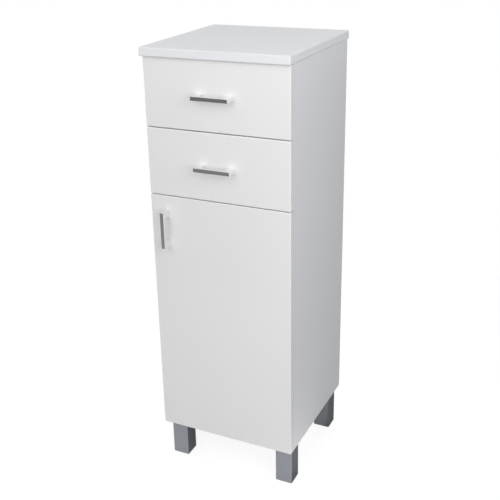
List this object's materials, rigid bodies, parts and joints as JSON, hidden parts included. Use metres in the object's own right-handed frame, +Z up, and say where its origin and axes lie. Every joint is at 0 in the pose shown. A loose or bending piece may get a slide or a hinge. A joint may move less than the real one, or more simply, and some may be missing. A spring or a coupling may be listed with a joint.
{
  "type": "bathroom storage tower",
  "caption": "Tall narrow white bathroom cabinet with drawers above a hinged door, chrome bow handles and square grey legs.",
  "frame": {"origin": "centre of the bounding box's footprint, on the floor plane under the legs", "axes": "+Z up, -Y out of the drawer and door fronts, +X to the viewer's right, where the door is hinged"},
  "size_m": [0.33, 0.348, 0.984],
  "materials": {
    "gloss_white": "high-gloss white lacquered board",
    "white_board": "white coated board, semi-gloss",
    "lining_board": "white melamine-faced board",
    "hardboard": "white-faced hardboard",
    "chrome": "polished chrome",
    "leg_plastic": "satin silver-grey moulded plastic",
    "coated_steel": "white epoxy-coated rolled steel",
    "roller_plastic": "natural nylon",
    "dowel_wood": "fluted beech, unfinished",
    "cast_zinc": "die-cast zinc",
    "plated_steel": "bright zinc or nickel plating"
  },
  "bodies": {
    "carcass": {"top_panel": "white_board", "left_side_panel": "white_board", "right_side_panel": "white_board", "bottom_panel": "lining_board", "middle_panel": "lining_board", "adjustable_shelf": "lining_board", "back_panel": "hardboard", "shelf_pins": "plated_steel", "cam_locks": "cast_zinc", "cam_bolts": "plated_steel", "dowels": "dowel_wood", "back_nails": "plated_steel", "front_left_leg": "leg_plastic", "front_right_leg": "leg_plastic", "rear_left_leg": "leg_plastic", "rear_right_leg": "leg_plastic", "leg_bolts": "plated_steel", "upper_left_cabinet_runner": "coated_steel", "upper_right_cabinet_runner": "coated_steel", "lower_left_cabinet_runner": "coated_steel", "lower_right_cabinet_runner": "coated_steel", "euro_screws": "plated_steel", "hinge_arms": "plated_steel", "hinge_arm_pins": "plated_steel", "hinge_plates": "plated_steel"},
    "upper_cabinet_rollers": {"upper_cabinet_rollers": "roller_plastic"},
    "lower_cabinet_rollers": {"lower_cabinet_rollers": "roller_plastic"},
    "upper_drawer_rollers": {"upper_drawer_rollers": "roller_plastic"},
    "lower_drawer_rollers": {"lower_drawer_rollers": "roller_plastic"},
    "hinge_outer_links": {"hinge_outer_links": "plated_steel"},
    "hinge_inner_links": {"hinge_inner_links": "plated_steel"},
    "door": {"door_panel": "gloss_white", "door_handle": "chrome", "door_handle_screws": "plated_steel", "door_bumpers": "roller_plastic", "hinge_cups": "plated_steel", "hinge_cup_pins": "plated_steel", "hinge_cup_screws": "plated_steel"},
    "upper_drawer": {"upper_drawer_front": "gloss_white", "upper_drawer_left_side": "lining_board", "upper_drawer_right_side": "lining_board", "upper_drawer_back": "lining_board", "upper_drawer_bottom": "hardboard", "upper_drawer_dowels": "dowel_wood", "upper_drawer_screws": "plated_steel", "upper_handle": "chrome", "upper_handle_screws": "plated_steel", "upper_left_drawer_runner": "coated_steel", "upper_right_drawer_runner": "coated_steel"},
    "lower_drawer": {"lower_drawer_front": "gloss_white", "lower_drawer_left_side": "lining_board", "lower_drawer_right_side": "lining_board", "lower_drawer_back": "lining_board", "lower_drawer_bottom": "hardboard", "lower_drawer_dowels": "dowel_wood", "lower_drawer_screws": "plated_steel", "lower_handle": "chrome", "lower_handle_screws": "plated_steel", "lower_left_drawer_runner": "coated_steel", "lower_right_drawer_runner": "coated_steel"}
  },
  "joints": [
    {"name": "upper_drawer_slide", "type": "slide", "parent": "carcass", "child": "upper_drawer", "axis": [0, -1, 0], "range_m": [0, 0.18]},
    {"name": "upper_cabinet_roller_spin", "type": "hinge", "parent": "carcass", "child": "upper_cabinet_rollers", "pos_m": [0, -0.114, 0.8481], "axis": [1, 0, 0], "range_deg": [0, 1150]},
    {"name": "upper_drawer_roller_spin", "type": "hinge", "parent": "upper_drawer", "child": "upper_drawer_rollers", "pos_m": [0, 0.105, 0.84775], "axis": [1, 0, 0], "range_deg": [0, 1150]},
    {"name": "lower_drawer_slide", "type": "slide", "parent": "carcass", "child": "lower_drawer", "axis": [0, -1, 0], "range_m": [0, 0.18]},
    {"name": "lower_cabinet_roller_spin", "type": "hinge", "parent": "carcass", "child": "lower_cabinet_rollers", "pos_m": [0, -0.114, 0.7011], "axis": [1, 0, 0], "range_deg": [0, 1150]},
    {"name": "lower_drawer_roller_spin", "type": "hinge", "parent": "lower_drawer", "child": "lower_drawer_rollers", "pos_m": [0, 0.105, 0.70075], "axis": [1, 0, 0], "range_deg": [0, 1150]},
    {"name": "outer_link_swing", "type": "hinge", "parent": "carcass", "child": "hinge_outer_links", "pos_m": [0.141, -0.1288, 0.384], "axis": [0, 0, 1], "range_deg": [-34, 0]},
    {"name": "inner_link_swing", "type": "hinge", "parent": "carcass", "child": "hinge_inner_links", "pos_m": [0.131, -0.136, 0.384], "axis": [0, 0, 1], "range_deg": [-28, 0]},
    {"name": "door_swing", "type": "hinge", "parent": "hinge_outer_links", "child": "door", "pos_m": [0.1534, -0.1359, 0.384], "axis": [0, 0, 1], "range_deg": [0, 128.25]}
  ],
  "couplings": [
    {"joint": "upper_cabinet_roller_spin", "follows": "upper_drawer_slide", "rad_per_m": 111.11},
    {"joint": "upper_drawer_roller_spin", "follows": "upper_drawer_slide", "rad_per_m": 111.11},
    {"joint": "lower_cabinet_roller_spin", "follows": "lower_drawer_slide", "rad_per_m": 111.11},
    {"joint": "lower_drawer_roller_spin", "follows": "lower_drawer_slide", "rad_per_m": 111.11},
    {"joint": "outer_link_swing", "follows": "door_swing", "ratio": -0.25926},
    {"joint": "inner_link_swing", "follows": "door_swing", "ratio": -0.21482}
  ]
}
